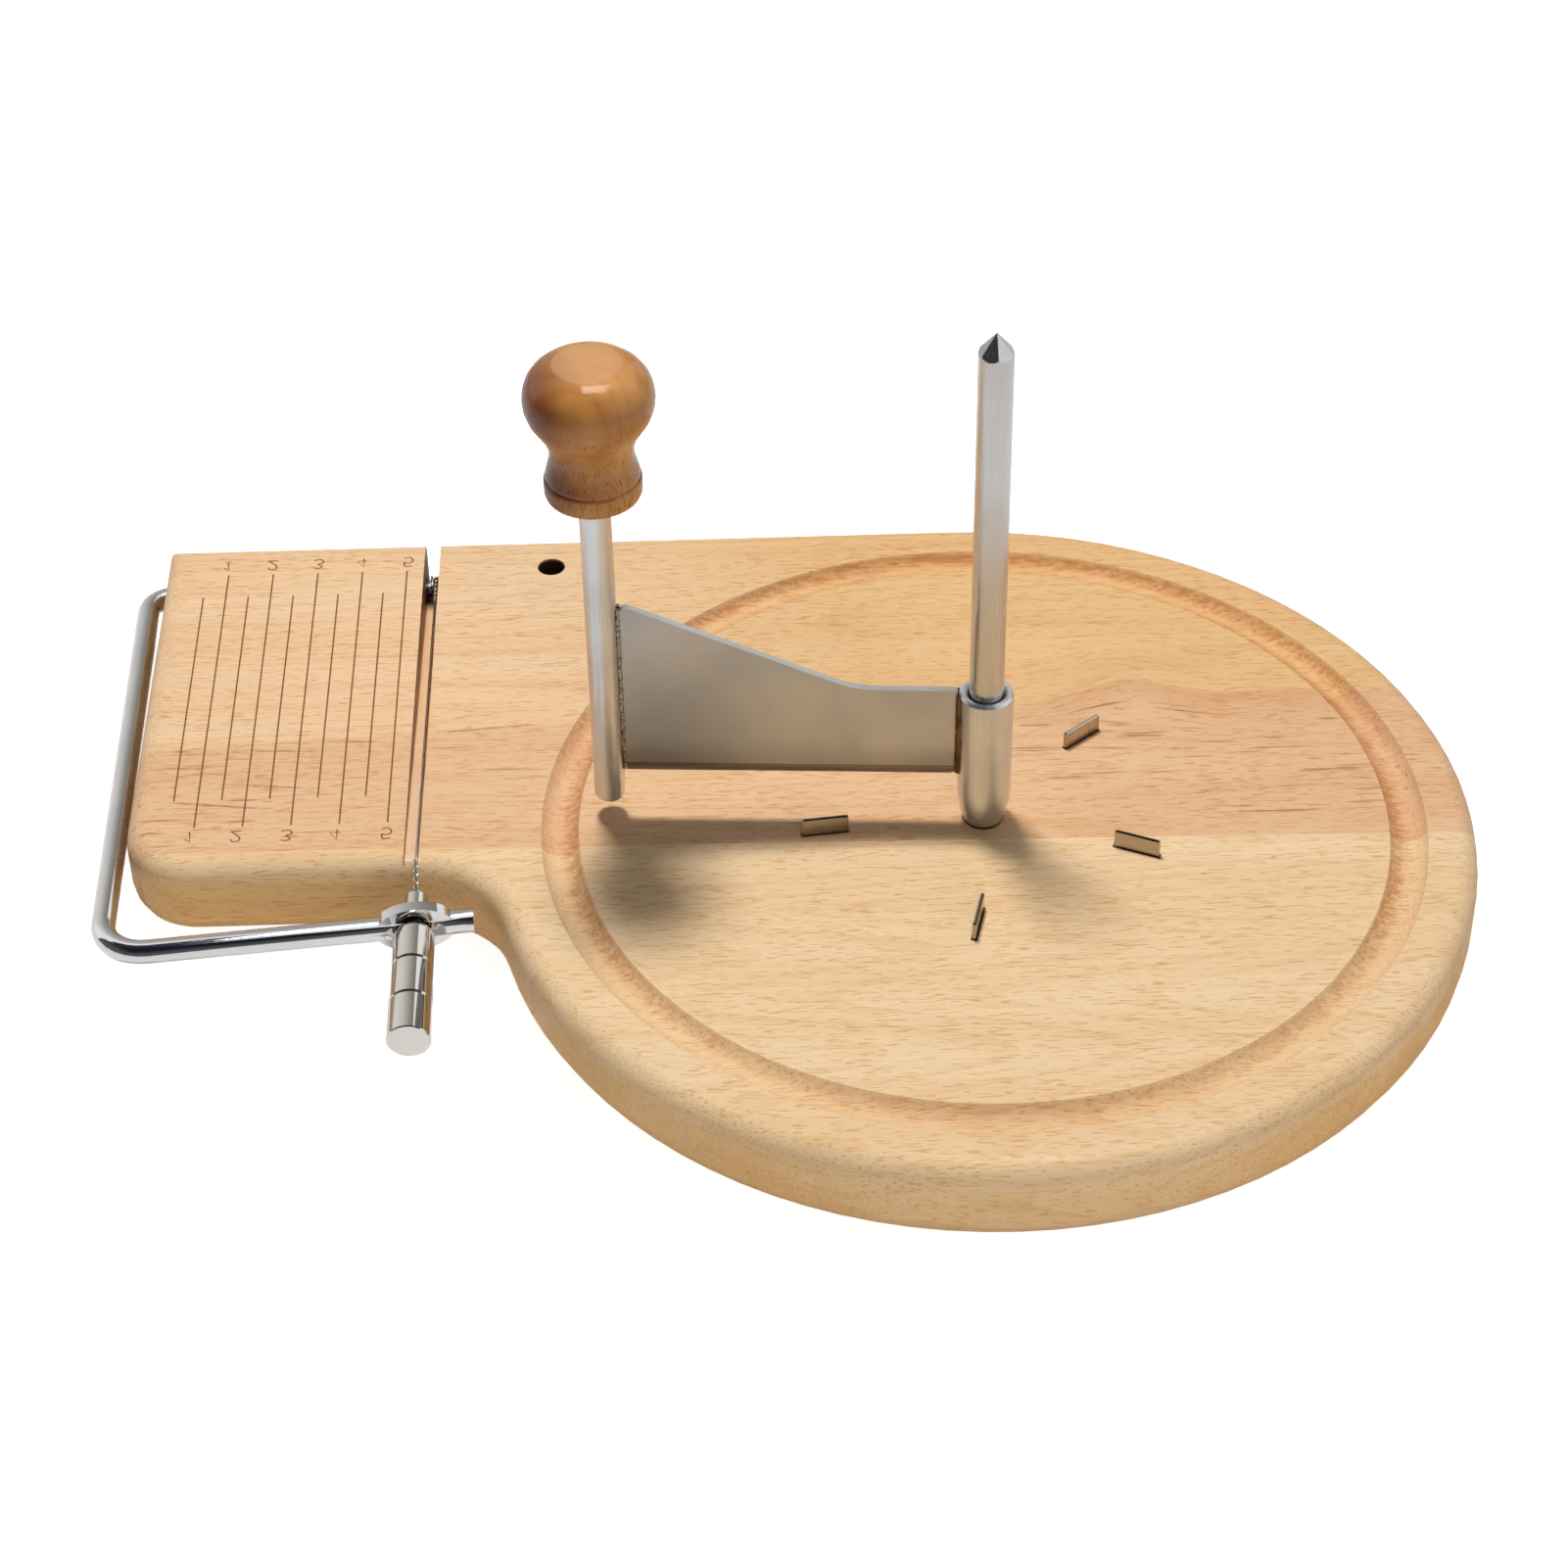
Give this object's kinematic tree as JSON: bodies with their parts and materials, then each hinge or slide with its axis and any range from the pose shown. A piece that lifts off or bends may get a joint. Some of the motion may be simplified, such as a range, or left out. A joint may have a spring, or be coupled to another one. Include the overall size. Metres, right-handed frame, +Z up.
{
  "type": "cheese grater",
  "caption": "Beech cheese board with a curl scraper that turns on a spindle over a round disc, and a wire slicer on a swinging bow over a small platform.",
  "frame": {"origin": "on the spindle's axis, on the board's flat underside", "axes": "+Z up along the spindle, +X along the wood's grain from the wire platform towards the round disc, +Y towards the straight back edge"},
  "size_m": [0.2864, 0.2034, 0.141],
  "materials": {
    "beech": "smooth untreated beech",
    "insert_brass": "machined",
    "spindle_steel": "satin stainless",
    "prong_1_steel": "plain stainless",
    "prong_2_steel": "plain stainless",
    "prong_3_steel": "plain stainless",
    "prong_4_steel": "plain stainless",
    "prong_5_steel": "plain stainless",
    "sleeve_steel": "satin stainless",
    "blade_steel": "satin stainless",
    "crank_steel": "satin stainless",
    "oiled_beech": "oiled turned beech",
    "bow_chrome": "bright chromed rod",
    "pin_chrome": "bright chromed",
    "handle_chrome": "bright chromed",
    "wire_steel": "bright stainless wire"
  },
  "bodies": {
    "base": {"board": "beech", "spindle_insert": "insert_brass", "spindle": "spindle_steel", "prong_1": "prong_1_steel", "prong_2": "prong_2_steel", "prong_3": "prong_3_steel", "prong_4": "prong_4_steel", "prong_5": "prong_5_steel"},
    "sleeve": {"scraper_sleeve": "sleeve_steel"},
    "scraper": {"scraper_blade": "blade_steel", "crank_rod": "crank_steel", "crank_knob": "oiled_beech"},
    "bow": {"slicer_bow": "bow_chrome", "tension_pin": "pin_chrome", "cutting_wire": "wire_steel"},
    "handle": {"tension_handle": "handle_chrome"}
  },
  "joints": [
    {"name": "scraper_lift", "type": "slide", "parent": "base", "child": "sleeve", "axis": [0, 0, 1], "range_m": [0, 0.11]},
    {"name": "scraper_turn", "type": "hinge", "parent": "sleeve", "child": "scraper", "pos_m": [0, 0, 0.0383], "axis": [0, 0, 1], "continuous": true},
    {"name": "bow_swing", "type": "hinge", "parent": "base", "child": "bow", "pos_m": [-0.15, 0.0955, 0.012], "axis": [-1, 0, 0], "range_deg": [0, 175]},
    {"name": "handle_turn", "type": "hinge", "parent": "bow", "child": "handle", "pos_m": [-0.1168, -0.02211, 0.01611], "axis": [0, -0.9981, -0.061], "range_deg": [-180, 180]}
  ]
}
